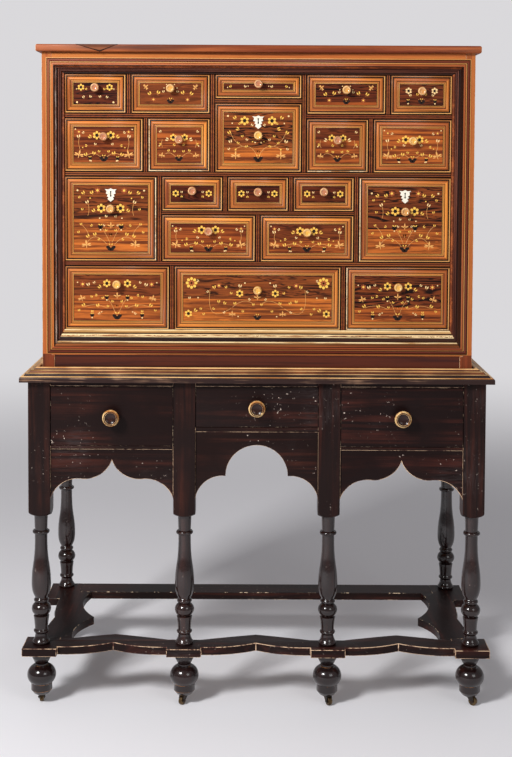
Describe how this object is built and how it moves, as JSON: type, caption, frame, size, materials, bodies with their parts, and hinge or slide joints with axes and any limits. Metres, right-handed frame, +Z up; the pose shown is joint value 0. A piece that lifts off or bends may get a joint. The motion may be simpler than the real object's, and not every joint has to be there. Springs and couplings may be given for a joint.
{
  "type": "vargueno",
  "caption": "Cabinet of small marquetry drawers, some locking, in a banded case on an ebonised stand with turned legs, drawers, shaped aprons, serpentine stretchers and casters.",
  "frame": {"origin": "on the floor under the middle of the whole, knobs included", "axes": "+Z up, +X to the right seen from the front, drawers open towards -Y"},
  "size_m": [1.085, 0.4943, 1.53],
  "materials": {
    "case_rosewood": "waxed, satin",
    "case_banding": "waxed, satin",
    "frame_moulding": "waxed, satin",
    "nest_edging": "waxed, satin",
    "drawer_veneer": "waxed, satin",
    "boxwood_inlay": "waxed, satin",
    "dark_inlay": "waxed, satin",
    "knob_fruitwood": "waxed, polished by hands",
    "bone": "polished bone",
    "secondary_timber": "bare, aged",
    "ebonised_wood": "black polish, worn brown on the edges",
    "caster_iron": "dull black",
    "caster_brass": "tarnished",
    "lock_iron": "dark, oiled"
  },
  "bodies": {
    "cabinet": {"cap_board": "case_rosewood", "case_top_panel": "case_banding", "case_sides": "case_banding", "case_bottom": "case_banding", "case_back": "secondary_timber", "plinth_rail": "case_rosewood", "nest_shelves": "nest_edging", "nest_uprights": "nest_edging", "front_frame_moulding": "frame_moulding", "stand_top": "ebonised_wood", "stand_top_moulding": "ebonised_wood", "front_legs": "ebonised_wood", "rear_legs": "ebonised_wood", "front_aprons": "ebonised_wood", "drawer_rails": "ebonised_wood", "side_and_back_rails": "ebonised_wood", "drawer_runners": "secondary_timber", "front_stretcher": "ebonised_wood", "side_stretchers": "ebonised_wood", "back_stretcher": "ebonised_wood", "bun_feet": "ebonised_wood", "caster_plates": "caster_brass"},
    "case_drawer_1_1": {"case_drawer_1_1": "drawer_veneer"},
    "case_drawer_1_2": {"case_drawer_1_2": "drawer_veneer"},
    "case_drawer_1_3": {"case_drawer_1_3": "drawer_veneer"},
    "case_drawer_1_4": {"case_drawer_1_4": "drawer_veneer"},
    "case_drawer_1_5": {"case_drawer_1_5": "drawer_veneer"},
    "case_drawer_2_1": {"case_drawer_2_1": "drawer_veneer"},
    "case_drawer_2_2": {"case_drawer_2_2": "drawer_veneer"},
    "case_drawer_2_3": {"case_drawer_2_3": "drawer_veneer"},
    "case_drawer_2_4": {"case_drawer_2_4": "drawer_veneer"},
    "case_drawer_2_5": {"case_drawer_2_5": "drawer_veneer"},
    "case_drawer_3_1": {"case_drawer_3_1": "drawer_veneer"},
    "case_drawer_3_2": {"case_drawer_3_2": "drawer_veneer"},
    "case_drawer_3_3": {"case_drawer_3_3": "drawer_veneer"},
    "case_drawer_3_4": {"case_drawer_3_4": "drawer_veneer"},
    "case_drawer_3_5": {"case_drawer_3_5": "drawer_veneer"},
    "case_drawer_4_1": {"case_drawer_4_1": "drawer_veneer"},
    "case_drawer_4_2": {"case_drawer_4_2": "drawer_veneer"},
    "case_drawer_5_1": {"case_drawer_5_1": "drawer_veneer"},
    "case_drawer_5_2": {"case_drawer_5_2": "drawer_veneer"},
    "case_drawer_5_3": {"case_drawer_5_3": "drawer_veneer"},
    "stand_drawer_left": {"stand_drawer_left": "ebonised_wood"},
    "stand_drawer_centre": {"stand_drawer_centre": "ebonised_wood"},
    "stand_drawer_right": {"stand_drawer_right": "ebonised_wood"},
    "lock_bolt_centre": {"lock_bolt_centre": "lock_iron"},
    "lock_bolt_left": {"lock_bolt_left": "lock_iron"},
    "lock_bolt_right": {"lock_bolt_right": "lock_iron"},
    "caster_fork_1": {"caster_fork_1": "caster_iron"},
    "caster_wheel_1": {"caster_wheel_1": "caster_brass"},
    "caster_fork_2": {"caster_fork_2": "caster_iron"},
    "caster_wheel_2": {"caster_wheel_2": "caster_brass"},
    "caster_fork_3": {"caster_fork_3": "caster_iron"},
    "caster_wheel_3": {"caster_wheel_3": "caster_brass"},
    "caster_fork_4": {"caster_fork_4": "caster_iron"},
    "caster_wheel_4": {"caster_wheel_4": "caster_brass"},
    "caster_fork_5": {"caster_fork_5": "caster_iron"},
    "caster_wheel_5": {"caster_wheel_5": "caster_brass"},
    "caster_fork_6": {"caster_fork_6": "caster_iron"},
    "caster_wheel_6": {"caster_wheel_6": "caster_brass"}
  },
  "joints": [
    {"name": "case_drawer_1_1_slide", "type": "slide", "parent": "cabinet", "child": "case_drawer_1_1", "axis": [0, -1, 0], "range_m": [0, 0.26]},
    {"name": "case_drawer_1_2_slide", "type": "slide", "parent": "cabinet", "child": "case_drawer_1_2", "axis": [0, -1, 0], "range_m": [0, 0.26]},
    {"name": "case_drawer_1_3_slide", "type": "slide", "parent": "cabinet", "child": "case_drawer_1_3", "axis": [0, -1, 0], "range_m": [0, 0.26]},
    {"name": "case_drawer_1_4_slide", "type": "slide", "parent": "cabinet", "child": "case_drawer_1_4", "axis": [0, -1, 0], "range_m": [0, 0.26]},
    {"name": "case_drawer_1_5_slide", "type": "slide", "parent": "cabinet", "child": "case_drawer_1_5", "axis": [0, -1, 0], "range_m": [0, 0.26]},
    {"name": "case_drawer_2_1_slide", "type": "slide", "parent": "cabinet", "child": "case_drawer_2_1", "axis": [0, -1, 0], "range_m": [0, 0.26]},
    {"name": "case_drawer_2_2_slide", "type": "slide", "parent": "cabinet", "child": "case_drawer_2_2", "axis": [0, -1, 0], "range_m": [0, 0.26]},
    {"name": "case_drawer_2_3_slide", "type": "slide", "parent": "cabinet", "child": "case_drawer_2_3", "axis": [0, -1, 0], "range_m": [0, 0.26]},
    {"name": "case_drawer_2_4_slide", "type": "slide", "parent": "cabinet", "child": "case_drawer_2_4", "axis": [0, -1, 0], "range_m": [0, 0.26]},
    {"name": "case_drawer_2_5_slide", "type": "slide", "parent": "cabinet", "child": "case_drawer_2_5", "axis": [0, -1, 0], "range_m": [0, 0.26]},
    {"name": "case_drawer_3_1_slide", "type": "slide", "parent": "cabinet", "child": "case_drawer_3_1", "axis": [0, -1, 0], "range_m": [0, 0.26]},
    {"name": "case_drawer_3_2_slide", "type": "slide", "parent": "cabinet", "child": "case_drawer_3_2", "axis": [0, -1, 0], "range_m": [0, 0.26]},
    {"name": "case_drawer_3_3_slide", "type": "slide", "parent": "cabinet", "child": "case_drawer_3_3", "axis": [0, -1, 0], "range_m": [0, 0.26]},
    {"name": "case_drawer_3_4_slide", "type": "slide", "parent": "cabinet", "child": "case_drawer_3_4", "axis": [0, -1, 0], "range_m": [0, 0.26]},
    {"name": "case_drawer_3_5_slide", "type": "slide", "parent": "cabinet", "child": "case_drawer_3_5", "axis": [0, -1, 0], "range_m": [0, 0.26]},
    {"name": "case_drawer_4_1_slide", "type": "slide", "parent": "cabinet", "child": "case_drawer_4_1", "axis": [0, -1, 0], "range_m": [0, 0.26]},
    {"name": "case_drawer_4_2_slide", "type": "slide", "parent": "cabinet", "child": "case_drawer_4_2", "axis": [0, -1, 0], "range_m": [0, 0.26]},
    {"name": "case_drawer_5_1_slide", "type": "slide", "parent": "cabinet", "child": "case_drawer_5_1", "axis": [0, -1, 0], "range_m": [0, 0.26]},
    {"name": "case_drawer_5_2_slide", "type": "slide", "parent": "cabinet", "child": "case_drawer_5_2", "axis": [0, -1, 0], "range_m": [0, 0.26]},
    {"name": "case_drawer_5_3_slide", "type": "slide", "parent": "cabinet", "child": "case_drawer_5_3", "axis": [0, -1, 0], "range_m": [0, 0.26]},
    {"name": "stand_drawer_left_slide", "type": "slide", "parent": "cabinet", "child": "stand_drawer_left", "axis": [0, -1, 0], "range_m": [0, 0.3]},
    {"name": "stand_drawer_centre_slide", "type": "slide", "parent": "cabinet", "child": "stand_drawer_centre", "axis": [0, -1, 0], "range_m": [0, 0.3]},
    {"name": "stand_drawer_right_slide", "type": "slide", "parent": "cabinet", "child": "stand_drawer_right", "axis": [0, -1, 0], "range_m": [0, 0.3]},
    {"name": "lock_bolt_centre_throw", "type": "slide", "parent": "case_drawer_2_3", "child": "lock_bolt_centre", "axis": [0, 0, 1], "range_m": [0, 0.006]},
    {"name": "lock_bolt_left_throw", "type": "slide", "parent": "case_drawer_3_1", "child": "lock_bolt_left", "axis": [0, 0, 1], "range_m": [0, 0.006]},
    {"name": "lock_bolt_right_throw", "type": "slide", "parent": "case_drawer_3_5", "child": "lock_bolt_right", "axis": [0, 0, 1], "range_m": [0, 0.006]},
    {"name": "caster_fork_1_swivel", "type": "hinge", "parent": "cabinet", "child": "caster_fork_1", "pos_m": [-0.5, -0.1935, 0.0228], "axis": [0, 0, 1], "continuous": true},
    {"name": "caster_wheel_1_roll", "type": "hinge", "parent": "caster_fork_1", "child": "caster_wheel_1", "pos_m": [-0.50156, -0.18464, 0.01], "axis": [0.9848, 0.1736, 0], "continuous": true},
    {"name": "caster_fork_2_swivel", "type": "hinge", "parent": "cabinet", "child": "caster_fork_2", "pos_m": [-0.16667, -0.1935, 0.0228], "axis": [0, 0, 1], "continuous": true},
    {"name": "caster_wheel_2_roll", "type": "hinge", "parent": "caster_fork_2", "child": "caster_wheel_2", "pos_m": [-0.17117, -0.20129, 0.01], "axis": [-0.866, 0.5, 0], "continuous": true},
    {"name": "caster_fork_3_swivel", "type": "hinge", "parent": "cabinet", "child": "caster_fork_3", "pos_m": [0.16667, -0.1935, 0.0228], "axis": [0, 0, 1], "continuous": true},
    {"name": "caster_wheel_3_roll", "type": "hinge", "parent": "caster_fork_3", "child": "caster_wheel_3", "pos_m": [0.17047, -0.20166, 0.01], "axis": [-0.9063, -0.4226, 0], "continuous": true},
    {"name": "caster_fork_4_swivel", "type": "hinge", "parent": "cabinet", "child": "caster_fork_4", "pos_m": [0.5, -0.1935, 0.0228], "axis": [0, 0, 1], "continuous": true},
    {"name": "caster_wheel_4_roll", "type": "hinge", "parent": "caster_fork_4", "child": "caster_wheel_4", "pos_m": [0.50737, -0.19866, 0.01], "axis": [-0.5736, -0.8192, 0], "continuous": true},
    {"name": "caster_fork_5_swivel", "type": "hinge", "parent": "cabinet", "child": "caster_fork_5", "pos_m": [-0.5, 0.2155, 0.0228], "axis": [0, 0, 1], "continuous": true},
    {"name": "caster_wheel_5_roll", "type": "hinge", "parent": "caster_fork_5", "child": "caster_wheel_5", "pos_m": [-0.50308, 0.22396, 0.01], "axis": [0.9397, 0.342, 0], "continuous": true},
    {"name": "caster_fork_6_swivel", "type": "hinge", "parent": "cabinet", "child": "caster_fork_6", "pos_m": [0.5, 0.2155, 0.0228], "axis": [0, 0, 1], "continuous": true},
    {"name": "caster_wheel_6_roll", "type": "hinge", "parent": "caster_fork_6", "child": "caster_wheel_6", "pos_m": [0.50516, 0.22287, 0.01], "axis": [0.8192, -0.5736, 0], "continuous": true}
  ]
}
